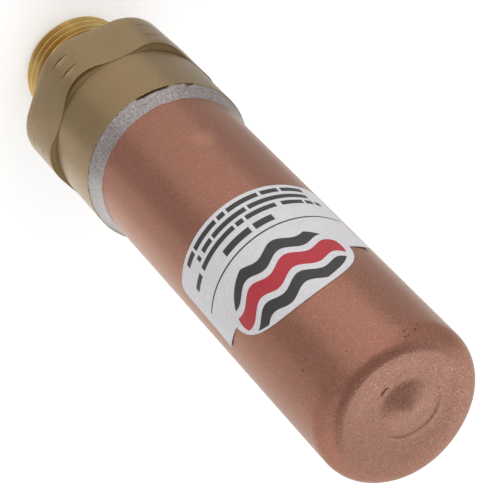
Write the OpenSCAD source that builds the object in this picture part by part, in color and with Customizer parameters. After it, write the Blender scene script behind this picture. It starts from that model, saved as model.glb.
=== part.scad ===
// Water hammer arrestor: a spun copper barrel soldered into a turned brass fitting.
// Inside, a piston with two O-rings parts the water below it from the air charge above it.
// Millimetres. The axis is +Z: the male thread ends at z = 0 and the closed end is on top.

/* [Thread] */
// Major diameter of the male taper thread at its free end
thread_end_d = 20.5; // [19.5:0.01:24]
// Length of the threaded stub below the hexagon
thread_len = 16.7; // [12:0.1:24]
// Growth of the thread's diameter over each millimetre of its length
thread_taper = 0.0625; // [0.03:0.0025:0.08]
// Distance between neighbouring ridges of the thread
thread_pitch = 1.814; // [1.4:0.001:2.3]
// Depth of the grooves between the ridges
thread_depth = 1.3; // [0.8:0.05:1.5]
// How far the lead-in chamfer cuts in from the ridges
lead_in = 1.65; // [1.5:0.05:2]
// Diameter of the waterway through the fitting
port_d = 14.3; // [10:0.1:15]
// Bevel at the lower mouth of the waterway
port_bevel = 0.4; // [0.2:0.05:0.6]

/* [Hexagon] */
// Height of the hexagon, with its chamfer
hex_h = 12.3; // [9:0.1:18]
// How far the flats stand outside the collar
flat_step = 0.1; // [0.05:0.01:0.5]
// How far the rounded corners stand outside the flats
corner_rise = 1.1; // [0.3:0.05:1.6]
// Length of the chamfer that brings the corners down to the collar
corner_chamfer = 1.4; // [0.6:0.1:3]
// Edge break on the thread side of the corners
corner_break = 0.3; // [0.1:0.05:0.8]

/* [Collar] */
// Height of the collar above the hexagon
collar_h = 13.1; // [9:0.1:20]
// Wall of the collar around its socket
collar_wall = 1.36; // [0.9:0.01:3]
// Depth of the socket that the barrel stands in
socket_depth = 11.1; // [6:0.1:14]
// Radial gap between the barrel and its socket
socket_gap = 0.05; // [0.02:0.01:0.15]
// Width of the brass rim outside the countersunk mouth
rim_w = 0.25; // [0.1:0.05:0.6]
// Depth of the countersunk mouth that holds the solder
mouth_depth = 0.9; // [0.4:0.1:2]

/* [Solder] */
// Height of the solder fillet above the rim
solder_h = 3.3; // [1:0.1:5]
// Thickness of the fillet where it feathers out on the barrel
solder_feather = 0.12; // [0.05:0.01:0.4]

/* [Barrel] */
// Outside diameter of the copper tube
barrel_od = 28.58; // [26:0.01:36]
// Wall of the tube
barrel_wall = 1.27; // [0.8:0.01:2]
// Length of the barrel from its open end to its end face
barrel_len = 96.25; // [84:0.25:160]
// Outside radius of the shoulder at the closed end
shoulder_r = 3.7; // [2.8:0.1:4.6]
// Thickness of the closed end
end_wall = 1.6; // [1.2:0.1:2.4]
// Radius inside which the end face starts to dip
dip_r = 10; // [8:0.1:10.2]
// Depth of that dip around the button
dip_depth = 0.25; // [0.1:0.05:0.5]
// Radius of the lip that the spinning leaves round the button
lip_r = 5.85; // [5.2:0.05:7]
// Height of the lip above the dip
lip_h = 0.15; // [0.05:0.01:0.3]
// Radius of the round button in the middle of the end face
button_r = 4.1; // [3:0.1:4.8]
// Height of the button above the dip
button_h = 1.2; // [0.5:0.1:1.8]

/* [Piston] */
// Length of the piston
piston_len = 24; // [20:0.5:32]
// Radial gap between the piston and the barrel's bore
piston_gap = 0.08; // [0.05:0.01:0.3]
// Gap between the piston at rest and the floor of the socket
stop_gap = 0.05; // [0.02:0.01:0.3]
// Thickness of the piston's crown, on the water side
crown_h = 6; // [4:0.5:9]
// Wall of the piston's cup behind the ring grooves
cup_wall = 2; // [1.2:0.1:4]
// Bevel at both ends of the piston
piston_bevel = 0.9; // [0.4:0.1:1.5]
// Distance from each end of the piston to its ring groove
groove_inset = 3.2; // [2.4:0.1:4.5]
// Width of a ring groove
groove_w = 3.6; // [3.2:0.1:4.2]

/* [O-rings] */
// Section diameter of an O-ring before it is fitted
ring_section = 2.62; // [2.4:0.01:2.8]
// How far the barrel flattens an O-ring
ring_squeeze = 0.4; // [0.2:0.01:0.6]
// Film of lubricant between an O-ring and the barrel
ring_film = 0.02; // [0.01:0.01:0.1]

/* [Label] */
// Width of the label, measured round the barrel
label_w = 34.8; // [29:0.1:38]
// Height of the label's band, up to the notches beside the tab
label_band_h = 20.5; // [12:0.1:28]
// Radius of the band's lower corners
label_corner_r = 1.5; // [0.5:0.1:4]
// How far the band's upper edges fall away from the notches
label_ear_drop = 1.4; // [0.2:0.1:4]
// Width of the round tab on top of the band
label_tab_w = 24.9; // [14:0.1:27]
// Height of the round tab above the notches
label_tab_h = 10; // [5:0.1:14]
// Lean of the label's upper outline against its lower edge, in degrees
label_lean = 3.4; // [-6:0.1:6]
// Distance from the end face down to the label's lower edge
label_drop = 48.95; // [44:0.05:52]
// Turn of the label from the front of the part, in degrees
label_turn = -13; // [-180:1:180]
// Slant at which the label was stuck on, in degrees
label_slant = -1.9; // [-4:0.1:4]
// Thickness of the label
label_t = 0.12; // [0.08:0.01:0.3]
// Thickness of the adhesive under the label
glue_t = 0.02; // [0.01:0.01:0.05]

/* [Hidden] */
$fn = 96;
cut = 1;

// Heights along the axis
hex_z = thread_len;
collar_z = hex_z + hex_h;
rim_z = collar_z + collar_h;
seat_z = rim_z - socket_depth;
end_z = seat_z + barrel_len;
piston_z = seat_z + stop_gap;

// Radii of the fitting, worked out from the tube that it holds
barrel_r = barrel_od / 2;
socket_r = barrel_r + socket_gap;
collar_r = socket_r + collar_wall;
flat_r = collar_r + flat_step;
corner_r = flat_r + corner_rise;
thread_r = thread_end_d / 2;
thread_top_r = thread_r + thread_taper * thread_len / 2;
lead_r = thread_r - lead_in;

// Grooves of the thread: shares of the pitch left as flats, and how many grooves the stub has room for
crest_share = 0.15;
root_share = 0.1;
groove_half = thread_pitch * (1 - crest_share) / 2;
root_half = thread_pitch * root_share / 2;
first_groove_z = lead_in + thread_pitch / 2;
last_groove_z = thread_len - thread_pitch - groove_half;
groove_count = floor((last_groove_z - first_groove_z) / thread_pitch) + 1;

// Rounding of the hexagon's corners, a little over the radius that would just touch the flats
round_share = 1.07;
corner_round = round_share * (flat_r / cos(30) - corner_r) / (1 / cos(30) - 1);
corner_c = corner_r - corner_round;
corner_half = (flat_r - corner_c * cos(30)) * sin(30);

// The blank is turned a little wider than the corners, on the same chamfers
blank_r = corner_r + 0.6;
chamfer_slope = corner_chamfer / (corner_r - collar_r);

// Radii inside the barrel
bore_r = barrel_r - barrel_wall;
piston_r = bore_r - piston_gap;
ring_out_r = bore_r - ring_film;
ring_t = ring_section - ring_squeeze;
groove_r = ring_out_r - ring_t;
cup_r = groove_r - cup_wall;

// The flattened ring keeps the area of its round section
ring_flat = PI / 4 * (ring_section * ring_section - ring_t * ring_t) / ring_t;
lower_groove_z = piston_z + groove_inset;
upper_groove_z = piston_z + piston_len - groove_inset - groove_w;

// End face: floor of the dip, bead of the lip, and the ball whose top is the button
dip_z = end_z - dip_depth;
lip_bead_r = 0.35;
button_ball_r = (button_r * button_r + button_h * button_h) / (2 * button_h);
button_ball_z = dip_z + button_h - button_ball_r;
button_root = end_wall / 4;

// Label
label_r = barrel_r + glue_t;
label_z = end_z - label_drop;
label_edge_steps = 8;
label_corner_steps = 4;
label_tab_steps = 24;

// Half section of a closed pot: a round top corner, open at the bottom
module pot_section(r, bottom, top, corner) {
    translate([0, bottom]) square([r, top - corner - bottom]);
    translate([0, bottom]) square([r - corner, top - bottom]);
    translate([r - corner, top - corner]) circle(corner);
}

// Half section of the button: the top of a ball on the axis, rooted in the end wall
module button_section() {
    intersection() {
        translate([0, button_ball_z]) circle(button_ball_r);
        translate([0, dip_z - button_root]) square([button_ball_r, button_root + button_h + cut]);
    }
}

// Radius of the taper over the ridges at a height
function ridge_r(z) = thread_r + thread_taper * z / 2;

// Half section of one groove of the thread, from its lower ridge to its upper ridge
function thread_groove(z) = [
    [ridge_r(z - groove_half), z - groove_half],
    [ridge_r(z) - thread_depth, z - root_half],
    [ridge_r(z) - thread_depth, z + root_half],
    [ridge_r(z + groove_half), z + groove_half]
];

// Turned blank: taper thread as rings at its pitch, lead-in chamfer, hexagon's chamfers, collar
module turned_blank() {
    rotate_extrude()
        polygon(concat(
            [[0, 0], [lead_r, 0], [ridge_r(lead_in), lead_in]],
            [for (i = [0 : groove_count - 1]) each thread_groove(first_groove_z + i * thread_pitch)],
            [
                [thread_top_r, hex_z],
                [corner_r - corner_break, hex_z],
                [blank_r, hex_z + corner_break + blank_r - corner_r],
                [blank_r, collar_z - chamfer_slope * (blank_r - collar_r)],
                [collar_r, collar_z],
                [collar_r, rim_z],
                [0, rim_z]
            ]
        ));
}

// What the rounding takes off the hexagon's corner on the X axis
module corner_cut() {
    difference() {
        translate([corner_c, -corner_half]) square([2 * corner_r, 2 * corner_half]);
        translate([corner_c, 0]) circle(corner_round);
    }
}

// Hexagon with round corners, one of them on the X axis
module round_hexagon() {
    difference() {
        circle(flat_r / cos(30), $fn = 6);
        for (k = [0 : 5]) rotate(60 * k) corner_cut();
    }
}

// Everything outside the hexagon, which the blank loses beside its flats and corners
module flats_cut() {
    translate([0, 0, hex_z - cut])
        difference() {
            cylinder(h = hex_h + 2 * cut, r = blank_r + cut);
            rotate(30)
                translate([0, 0, -cut])
                linear_extrude(hex_h + 4 * cut)
                round_hexagon();
        }
}

// Waterway, socket and countersunk mouth, as one turned cut
module fitting_bore() {
    rotate_extrude()
        polygon([
            [0, -cut],
            [port_d / 2 + port_bevel + cut, -cut],
            [port_d / 2, port_bevel],
            [port_d / 2, seat_z],
            [socket_r, seat_z],
            [socket_r, rim_z - mouth_depth],
            [collar_r - rim_w, rim_z],
            [collar_r - rim_w, rim_z + cut],
            [0, rim_z + cut]
        ]);
}

module hex_fitting() {
    color([0.62, 0.53, 0.36])
        difference() {
            turned_blank();
            flats_cut();
            fitting_bore();
        }
}

// Solder that fills the mouth of the socket and runs up the barrel
module solder_ring() {
    color([0.66, 0.65, 0.66])
        rotate_extrude()
        polygon([
            [barrel_r, rim_z - mouth_depth],
            [socket_r, rim_z - mouth_depth],
            [collar_r - rim_w, rim_z],
            [barrel_r + solder_feather, rim_z + solder_h],
            [barrel_r, rim_z + solder_h]
        ]);
}

// Tube with a spun end: round shoulder, shallow dip, lip and central button
module barrel() {
    color([0.62, 0.40, 0.33])
        rotate_extrude() {
            difference() {
                pot_section(barrel_r, seat_z, end_z, shoulder_r);
                pot_section(bore_r, seat_z - cut, end_z - end_wall, shoulder_r - barrel_wall);
                polygon([
                    [0, dip_z],
                    [lip_r + lip_bead_r, dip_z],
                    [dip_r, end_z],
                    [dip_r, end_z + cut],
                    [0, end_z + cut]
                ]);
            }
            translate([lip_r, dip_z + lip_h - lip_bead_r]) circle(lip_bead_r);
            button_section();
        }
}

// Half section of a ring groove, cut to just past the piston's side
module groove_section(z) {
    translate([groove_r, z]) square([piston_r - groove_r + cut, groove_w]);
}

// Moulded piston: crown to the water, open cup to the air, two ring grooves
module piston() {
    top = piston_z + piston_len;
    color([0.90, 0.90, 0.87])
        rotate_extrude()
        difference() {
            polygon([
                [0, piston_z],
                [piston_r - piston_bevel, piston_z],
                [piston_r, piston_z + piston_bevel],
                [piston_r, top - piston_bevel],
                [piston_r - piston_bevel, top],
                [0, top]
            ]);
            translate([0, piston_z + crown_h]) square([cup_r, piston_len]);
            groove_section(lower_groove_z);
            groove_section(upper_groove_z);
        }
}

// O-ring pressed flat between its groove and the bore
module o_ring(groove_z) {
    color([0.10, 0.10, 0.11])
        translate([0, 0, groove_z + groove_w / 2])
        rotate_extrude()
        translate([groove_r + ring_t / 2, 0]) {
            square([ring_t, ring_flat], center = true);
            for (side = [-1, 1]) translate([0, side * ring_flat / 2]) circle(ring_t / 2);
        }
}

// Right half of the flat label's lower edge, from its middle to the end of the round corner
function label_lower() = let (
    w = label_w / 2,
    r = label_corner_r,
    n = label_edge_steps,
    m = label_corner_steps
) concat(
    [for (i = [0 : n - 1]) [(w - r) * i / n, 0]],
    [for (i = [0 : m]) let (a = 90 * i / m) [w - r + r * sin(a), r - r * cos(a)]]
);

// Upper outline of one side, 1 for the right and -1 for the left: the ear, the notch and half the tab
function label_upper(side) = let (
    w = label_w / 2,
    t = label_tab_w / 2,
    n = label_edge_steps,
    k = label_tab_steps / 2
) [
    for (p = concat(
        [for (i = [0 : n - 1]) [w - (w - t) * i / n, label_band_h - label_ear_drop * (1 - i / n)]],
        [for (i = [0 : k]) let (a = 90 * i / k) [t * cos(a), label_band_h + label_tab_h * sin(a)]]
    )) [side * p[0], p[1] - side * p[0] * tan(label_lean)]
];

// The whole outline: up the right side to the tab's top, then down the left side
function label_outline() = let (
    lower = label_lower(),
    left = label_upper(-1),
    n = len(left),
    m = len(lower)
) concat(
    lower,
    label_upper(1),
    [for (i = [n - 2 : -1 : 0]) left[i]],
    [for (i = [m - 1 : -1 : 1]) [-lower[i][0], lower[i][1]]]
);

// A point of the slanted flat label, seen square on once it is wrapped round the barrel
function wrapped(p) = let (
    x = p[0] * cos(label_slant) - p[1] * sin(label_slant),
    y = p[0] * sin(label_slant) + p[1] * cos(label_slant)
) [label_r * sin(x / label_r * 180 / PI), y];

module label() {
    color([0.87, 0.87, 0.89])
        rotate(label_turn)
        intersection() {
            translate([0, 0, label_z - label_drop / 2])
                difference() {
                    cylinder(h = 2 * label_drop, r = label_r + label_t);
                    translate([0, 0, -cut]) cylinder(h = 2 * label_drop + 2 * cut, r = label_r);
                }
            translate([0, 0, label_z])
                rotate([90, 0, 0])
                linear_extrude(barrel_od)
                polygon([for (p = label_outline()) wrapped(p)]);
        }
}

hex_fitting();
solder_ring();
barrel();
piston();
o_ring(lower_groove_z);  // lower_o_ring
o_ring(upper_groove_z);  // upper_o_ring
label();
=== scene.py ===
"""Looks of a water hammer arrestor: copper barrel, run solder, threaded brass fitting, printed label."""

import math

import bmesh
import bpy
import numpy as np
from mathutils import Matrix, Vector, noise


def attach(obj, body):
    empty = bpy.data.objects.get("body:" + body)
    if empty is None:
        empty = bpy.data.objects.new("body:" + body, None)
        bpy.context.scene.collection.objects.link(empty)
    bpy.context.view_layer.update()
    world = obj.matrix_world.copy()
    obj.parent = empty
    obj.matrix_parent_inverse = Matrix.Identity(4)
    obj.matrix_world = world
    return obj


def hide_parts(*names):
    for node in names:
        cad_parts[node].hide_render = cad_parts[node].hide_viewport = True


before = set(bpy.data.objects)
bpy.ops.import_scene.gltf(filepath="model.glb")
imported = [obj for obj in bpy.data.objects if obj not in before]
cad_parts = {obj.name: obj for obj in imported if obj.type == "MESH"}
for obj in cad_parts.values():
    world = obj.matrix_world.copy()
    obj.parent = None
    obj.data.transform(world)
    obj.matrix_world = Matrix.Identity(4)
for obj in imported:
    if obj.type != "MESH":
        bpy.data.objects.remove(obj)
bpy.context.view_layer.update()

MM = 0.001

# Sizes of the solids, in millimetres
THREAD_END_R = 10.25
THREAD_LEN = 16.7
THREAD_TAPER = 0.0625
LEAD_R = 8.6
THREAD_PITCH = 1.814
THREAD_DEPTH = 1.3
PORT_R = 7.15
PORT_BEVEL = 0.4
HEX_Z = THREAD_LEN
COLLAR_Z = 29.0
RIM_Z = 42.1
SEAT_Z = 31.0
END_Z = 127.25
BARREL_R = 14.29
BORE_R = 13.02
SOCKET_R = 14.34
COLLAR_R = 15.7
FLAT_R = 15.8
CORNER_R = 16.9
CHAMFER_H = 1.4
RIM_W = 0.25
MOUTH_DEPTH = 0.9
SOLDER_H = 3.3
SHOULDER_R = 3.7
END_WALL = 1.6
DIP_R = 10.0
DIP_DEPTH = 0.25
BUTTON_H = 1.2
LABEL_W = 34.8
LABEL_BAND_H = 20.5
LABEL_CORNER_R = 1.5
LABEL_EAR_DROP = 1.4
LABEL_TAB_W = 24.9
LABEL_TAB_H = 10.0
LABEL_LEAN = 3.4
LABEL_DROP = 48.95
LABEL_TURN = -13.0
LABEL_SLANT = -1.9
LABEL_T = 0.12
GLUE_T = 0.02


# Node helpers


class Wires:
    """Adds nodes to one tree and joins them."""

    def __init__(self, tree):
        self.tree = tree

    def node(self, kind, **settings):
        made = self.tree.nodes.new(kind)
        for name, value in settings.items():
            setattr(made, name, value)
        return made

    def put(self, socket, value):
        if isinstance(value, bpy.types.NodeSocket):
            self.tree.links.new(value, socket)
        elif value is not None:
            socket.default_value = value

    def math(self, operation, a, b=None, c=None, clamp=False):
        made = self.node("ShaderNodeMath", operation=operation, use_clamp=clamp)
        for socket, value in zip(made.inputs, (a, b, c)):
            self.put(socket, value)
        return made.outputs[0]

    def step(self, value, low, high):
        """0 below low, 1 above high, smooth between."""
        made = self.node("ShaderNodeMapRange", interpolation_type="SMOOTHSTEP", clamp=True)
        for name, v in (("Value", value), ("From Min", low), ("From Max", high)):
            self.put(made.inputs[name], v)
        return made.outputs["Result"]

    def span(self, value, low, high, to_low, to_high):
        made = self.node("ShaderNodeMapRange", clamp=True)
        for name, v in (
            ("Value", value),
            ("From Min", low),
            ("From Max", high),
            ("To Min", to_low),
            ("To Max", to_high),
        ):
            self.put(made.inputs[name], v)
        return made.outputs["Result"]

    def ramp(self, mask, at_none, at_full):
        """Goes from one value to another as the mask goes from 0 to 1."""
        return self.span(mask, 0.0, 1.0, at_none, at_full)

    def mix(self, factor, a, b):
        made = self.node("ShaderNodeMix", data_type="RGBA", blend_type="MIX")
        self.put(made.inputs[0], factor)
        self.put(made.inputs[6], a)
        self.put(made.inputs[7], b)
        return made.outputs[2]

    def tinted(self, colour, mask, share, other):
        """The colour, moved towards another one by a share of the mask."""
        return self.mix(self.math("MULTIPLY", mask, share), colour, other)

    def noise(self, place, scale, detail=3.0, rough=0.55, distort=0.0):
        made = self.node("ShaderNodeTexNoise")
        self.put(made.inputs["Vector"], place)
        self.put(made.inputs["Scale"], scale)
        made.inputs["Detail"].default_value = detail
        made.inputs["Roughness"].default_value = rough
        made.inputs["Distortion"].default_value = distort
        return made.outputs[0]

    def cells(self, place, scale):
        made = self.node("ShaderNodeTexVoronoi", feature="F1")
        self.put(made.inputs["Vector"], place)
        self.put(made.inputs["Scale"], scale)
        return made.outputs["Distance"]

    def away_from(self, place, spot):
        """Distance of each point from a spot given in millimetres."""
        made = self.node("ShaderNodeVectorMath", operation="DISTANCE")
        self.put(made.inputs[0], place)
        made.inputs[1].default_value = [v * MM for v in spot]
        return made.outputs["Value"]

    def from_middle(self, x, y):
        """Distance from the point where x and y are 0."""
        squares = self.math("ADD", self.math("MULTIPLY", x, x), self.math("MULTIPLY", y, y))
        return self.math("SQRT", squares)

    def axes(self, place):
        made = self.node("ShaderNodeSeparateXYZ")
        self.put(made.inputs[0], place)
        return made.outputs

    def joined(self, x, y, z):
        made = self.node("ShaderNodeCombineXYZ")
        for socket, value in zip(made.inputs, (x, y, z)):
            self.put(socket, value)
        return made.outputs[0]

    def bump(self, height, strength, distance):
        made = self.node("ShaderNodeBump")
        made.inputs["Strength"].default_value = strength
        made.inputs["Distance"].default_value = distance
        self.put(made.inputs["Height"], height)
        return made.outputs[0]

    def group(self, tree, **values):
        made = self.node("ShaderNodeGroup", node_tree=tree)
        for name, value in values.items():
            self.put(made.inputs[name.replace("_", " ")], value)
        return made.outputs


def shader_group(name, inputs, outputs):
    tree = bpy.data.node_groups.new(name, "ShaderNodeTree")
    for label, kind, default in inputs:
        socket = tree.interface.new_socket(name=label, in_out="INPUT", socket_type=kind)
        if default is not None:
            socket.default_value = default
    for label, kind in outputs:
        tree.interface.new_socket(name=label, in_out="OUTPUT", socket_type=kind)
    wires = Wires(tree)
    return tree, wires, wires.node("NodeGroupInput").outputs, wires.node("NodeGroupOutput").inputs


def srgb(r, g, b):
    """A colour given as it shows on screen, 0 to 255, in the linear values that the nodes use."""
    def linear(v):
        v /= 255.0
        return v / 12.92 if v <= 0.04045 else ((v + 0.055) / 1.055) ** 2.4

    return (linear(r), linear(g), linear(b), 1.0)


def new_material(name):
    made = bpy.data.materials.new(name)
    made.use_nodes = True
    wires = Wires(made.node_tree)
    shader = made.node_tree.nodes["Principled BSDF"]
    place = wires.node("ShaderNodeTexCoord").outputs["Object"]
    return made, wires, shader.inputs, place


def surface(w, bsdf, colour, mask, roughness, height, strength, depth, metallic=1.0):
    """Sets a finish's colour, its roughness from a mask, and its fine relief."""
    w.put(bsdf["Base Color"], colour)
    bsdf["Metallic"].default_value = metallic
    w.put(bsdf["Roughness"], w.ramp(mask, *roughness))
    w.put(bsdf["Normal"], w.bump(height, strength, depth))


# Effects that several finishes share


def make_grain_group():
    """Fine blasted grain: a mask of light and dark specks and its height."""
    tree, w, got, out = shader_group(
        "fine_grain",
        [("Place", "NodeSocketVector", None), ("Grains per metre", "NodeSocketFloat", 3500.0)],
        [("Mask", "NodeSocketFloat"), ("Height", "NodeSocketFloat")],
    )
    coarse = w.noise(got["Place"], got["Grains per metre"], detail=2.0, rough=0.6)
    fine = w.noise(got["Place"], w.math("MULTIPLY", got["Grains per metre"], 2.7), detail=1.0)
    both = w.math("ADD", w.math("MULTIPLY", coarse, 0.65), w.math("MULTIPLY", fine, 0.35))
    w.put(out["Mask"], w.span(both, 0.32, 0.68, 0.0, 1.0))
    w.put(out["Height"], both)
    return tree


def make_tarnish_group():
    """Broad uneven patches of handling and tarnish, 0 to 1."""
    tree, w, got, out = shader_group(
        "tarnish",
        [("Place", "NodeSocketVector", None), ("Patches per metre", "NodeSocketFloat", 90.0)],
        [("Mask", "NodeSocketFloat")],
    )
    broad = w.noise(got["Place"], got["Patches per metre"], detail=4.0, rough=0.6, distort=0.4)
    w.put(out["Mask"], w.span(broad, 0.34, 0.66, 0.0, 1.0))
    return tree


def make_turning_group():
    """Rings that a cutting tool leaves round the axis: a mask and its height."""
    tree, w, got, out = shader_group(
        "turning_rings",
        [("Place", "NodeSocketVector", None), ("Rings per metre", "NodeSocketFloat", 5000.0)],
        [("Mask", "NodeSocketFloat"), ("Height", "NodeSocketFloat")],
    )
    x, y, z = w.axes(got["Place"])
    along = w.math("MULTIPLY", w.math("ADD", z, w.from_middle(x, y)), got["Rings per metre"])
    around = w.math("MULTIPLY", w.math("ARCTAN2", y, x), 0.8)
    rings = w.noise(w.joined(along, around, 0.0), 1.0, detail=2.0, rough=0.6)
    w.put(out["Mask"], w.span(rings, 0.3, 0.7, 0.0, 1.0))
    w.put(out["Height"], rings)
    return tree


GRAIN = make_grain_group()
TARNISH = make_tarnish_group()
TURNING = make_turning_group()


# Copper finish


COPPER_LOW = srgb(147, 99, 82)
COPPER_HIGH = srgb(198, 142, 122)
COPPER_END_LOW = srgb(158, 115, 99)
COPPER_END_HIGH = srgb(216, 167, 149)
# Colour of the painted glints: pale specks that stand in for highlights
COPPER_PAINTED_GLINT = srgb(240, 194, 168)
# Colour towards which the end face darkens along +x
COPPER_END_DARKER = srgb(152, 114, 98)
COPPER_MOTTLE = srgb(146, 100, 84)
COPPER_PATCH = srgb(157, 108, 92)
COPPER_RUBBED = srgb(206, 150, 124)
COPPER_PIT = srgb(70, 40, 32)
COPPER_EDGE = (0.97, 0.945, 0.89, 1.0)
# Radii, and depths under the end face, between which the end face's lighter colours set in
END_FADE_R = (13.0, 10.6)
END_FADE_DEPTH = (3.0, 2.0)
# Heights between which the painted glints grow stronger up the side
PAINTED_GLINT_RISE_Z = (70.0, 115.0)
# Distances along x over which the end face darkens
END_DARKER_X = (-1.0, 12.0)
RUBBED_SPOT = (-8.5, -11.5, 59.5)
RUBBED_REACH = (1.0, 3.4)
# Middle and reach of each cluster of pits
PIT_CLUSTERS = (
    (-9.9, -10.3, 125.65, 1.5),
    (-11.2, -8.9, 125.05, 1.1),
    (-1.3, -14.2, 123.65, 0.9),
    (6.0, -12.9, 118.0, 0.8),
)
PITS_PER_METRE = 1300.0
STRAY_PITS = 0.25


def blasted_copper():
    """Finely blasted copper: lighter on the end face and darker towards +x across it, with painted glints, a
    rubbed spot and a few pits.
    """
    made, w, bsdf, place = new_material("blasted_copper")
    grain = w.group(GRAIN, Place=place, Grains_per_metre=2500.0)
    specks = w.group(GRAIN, Place=place, Grains_per_metre=3000.0)["Mask"]
    patches = w.group(TARNISH, Place=place, Patches_per_metre=70.0)["Mask"]
    mottle = w.group(TARNISH, Place=place, Patches_per_metre=520.0)["Mask"]
    x, y, z = w.axes(place)
    inwards = w.step(w.from_middle(x, y), END_FADE_R[0] * MM, END_FADE_R[1] * MM)
    upwards = w.step(z, (END_Z - END_FADE_DEPTH[0]) * MM, (END_Z - END_FADE_DEPTH[1]) * MM)
    end = w.math("MULTIPLY", inwards, upwards)

    # Painted glints: specks that lift the grain towards its light colour, more on the end face
    painted_sparkle = w.math("MULTIPLY", w.step(specks, 0.6, 1.0), w.ramp(end, 0.6, 0.9))
    light = w.math("ADD", w.ramp(grain["Mask"], w.ramp(end, 0.22, 0.0), 0.6), painted_sparkle, clamp=True)
    side_colour = w.mix(light, COPPER_LOW, COPPER_HIGH)
    end_colour = w.mix(light, COPPER_END_LOW, COPPER_END_HIGH)
    colour = w.mix(end, side_colour, end_colour)

    # Painted glints: pale specks that stand in for highlights, stronger up the side towards the closed end
    # and on the end face
    painted_glint_rise = w.span(z, PAINTED_GLINT_RISE_Z[0] * MM, PAINTED_GLINT_RISE_Z[1] * MM, 0.04, 0.26)
    painted_glints = w.math("MAXIMUM", painted_glint_rise, w.math("MULTIPLY", end, 0.55))
    colour = w.tinted(colour, w.step(specks, 0.68, 1.0), painted_glints, COPPER_PAINTED_GLINT)
    # Darker towards +x across the end face
    across = w.span(x, END_DARKER_X[0] * MM, END_DARKER_X[1] * MM, 0.0, 0.52)
    colour = w.tinted(colour, end, across, COPPER_END_DARKER)
    colour = w.tinted(colour, mottle, 0.1, COPPER_MOTTLE)
    colour = w.tinted(colour, patches, 0.2, COPPER_PATCH)
    rubbed = w.step(w.away_from(place, RUBBED_SPOT), RUBBED_REACH[1] * MM, RUBBED_REACH[0] * MM)
    colour = w.tinted(colour, rubbed, 0.3, COPPER_RUBBED)

    stray = w.step(w.noise(place, 260.0, detail=1.0), 0.66, 0.70)
    pitted = w.math("MULTIPLY", stray, STRAY_PITS)
    for *spot, reach in PIT_CLUSTERS:
        near = w.step(w.away_from(place, spot), reach * MM, 0.6 * reach * MM)
        pitted = w.math("MAXIMUM", pitted, near)
    pits = w.math("MULTIPLY", w.step(w.cells(place, PITS_PER_METRE), 0.34, 0.20), pitted)
    colour = w.tinted(colour, pits, 0.8, COPPER_PIT)

    bsdf["Specular Tint"].default_value = COPPER_EDGE
    relief = w.math("MULTIPLY", grain["Height"], w.ramp(end, 0.75, 1.5))
    relief = w.math("SUBTRACT", relief, w.math("MULTIPLY", pits, 0.8))
    surface(w, bsdf, colour, grain["Mask"], (0.25, 0.34), relief, strength=0.4, depth=0.00012)
    return made


# Brass finishes


THREAD_CUT_LOW = srgb(207, 170, 101)
THREAD_CUT_HIGH = srgb(228, 196, 127)
THREAD_PATCH = srgb(184, 144, 76)
# Colour of the painted shade in the roots of the thread
THREAD_ROOT_SHADE = srgb(108, 79, 38)
# How far under the crests the painted shade towards the roots sets in
ROOT_SHADE_FROM = 0.15


def worn_brass(name, texture, patches_per_metre, patch_share, colours, roughness, strength, depth):
    """Brass with one fine texture, grained or turned, under broad patches."""
    made, w, bsdf, place = new_material(name)
    tree, rate = texture
    fine = w.group(tree, Place=place, **rate)
    patches = w.group(TARNISH, Place=place, Patches_per_metre=patches_per_metre)["Mask"]
    low, high, patch = colours
    colour = w.tinted(w.mix(fine["Mask"], low, high), patches, patch_share, patch)
    surface(w, bsdf, colour, fine["Mask"], roughness, fine["Height"], strength, depth)
    return made


def dull_brass():
    return worn_brass(
        "dull_brass",
        texture=(GRAIN, {"Grains_per_metre": 2800.0}),
        patches_per_metre=90.0,
        patch_share=0.3,
        colours=(srgb(152, 127, 91), srgb(173, 148, 109), srgb(146, 121, 90)),
        roughness=(0.28, 0.38),
        strength=0.18,
        depth=0.00008,
    )


def turned_brass():
    return worn_brass(
        "turned_brass",
        texture=(TURNING, {"Rings_per_metre": 4200.0}),
        patches_per_metre=260.0,
        patch_share=0.4,
        colours=(srgb(124, 102, 71), srgb(150, 126, 91), srgb(116, 95, 66)),
        roughness=(0.34, 0.46),
        strength=0.25,
        depth=0.00006,
    )


def grime_and_shade_brass():
    """Dark brown for the tool marks and the edges of the turned hollow: partly grime, partly painted shade in
    these recesses.
    """
    return worn_brass(
        "grime_and_shade_brass",
        texture=(GRAIN, {"Grains_per_metre": 2800.0}),
        patches_per_metre=400.0,
        patch_share=0.5,
        colours=(srgb(72, 56, 36), srgb(94, 76, 52), srgb(112, 92, 64)),
        roughness=(0.36, 0.5),
        strength=0.2,
        depth=0.00006,
    )


def bright_brass():
    """Freshly cut thread: shiny crests, with painted shade making it darker towards the roots of the grooves.
    """
    made, w, bsdf, place = new_material("bright_thread_brass")
    x, y, z = w.axes(place)
    crest_r = w.math("MULTIPLY_ADD", z, THREAD_TAPER / 2, THREAD_END_R * MM)
    under_crest = w.math("SUBTRACT", crest_r, w.from_middle(x, y))
    root_shade = w.span(under_crest, ROOT_SHADE_FROM * MM, THREAD_DEPTH * MM, 0.0, 1.0)
    rings = w.group(TURNING, Place=place, Rings_per_metre=9000.0)
    patches = w.group(TARNISH, Place=place, Patches_per_metre=260.0)["Mask"]
    colour = w.mix(rings["Mask"], THREAD_CUT_LOW, THREAD_CUT_HIGH)
    colour = w.tinted(colour, patches, 0.25, THREAD_PATCH)
    # Painted shade: darker towards the roots of the grooves
    colour = w.tinted(colour, root_shade, 0.85, THREAD_ROOT_SHADE)
    surface(w, bsdf, colour, patches, (0.14, 0.26), rings["Height"], strength=0.1, depth=0.00003)
    return made


# Solder finish


SOLDER_LOW = srgb(128, 119, 117)
SOLDER_HIGH = srgb(208, 199, 196)
SOLDER_PATCH = srgb(138, 128, 124)
SOLDER_LIGHTER = srgb(232, 231, 228)
SOLDER_VOID = srgb(78, 70, 66)
LIGHTER_SPOT = (13.6, -6.4, 43.6)
LIGHTER_REACH = (3.0, 9.5)
VOIDS_PER_METRE = 1300.0


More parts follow.
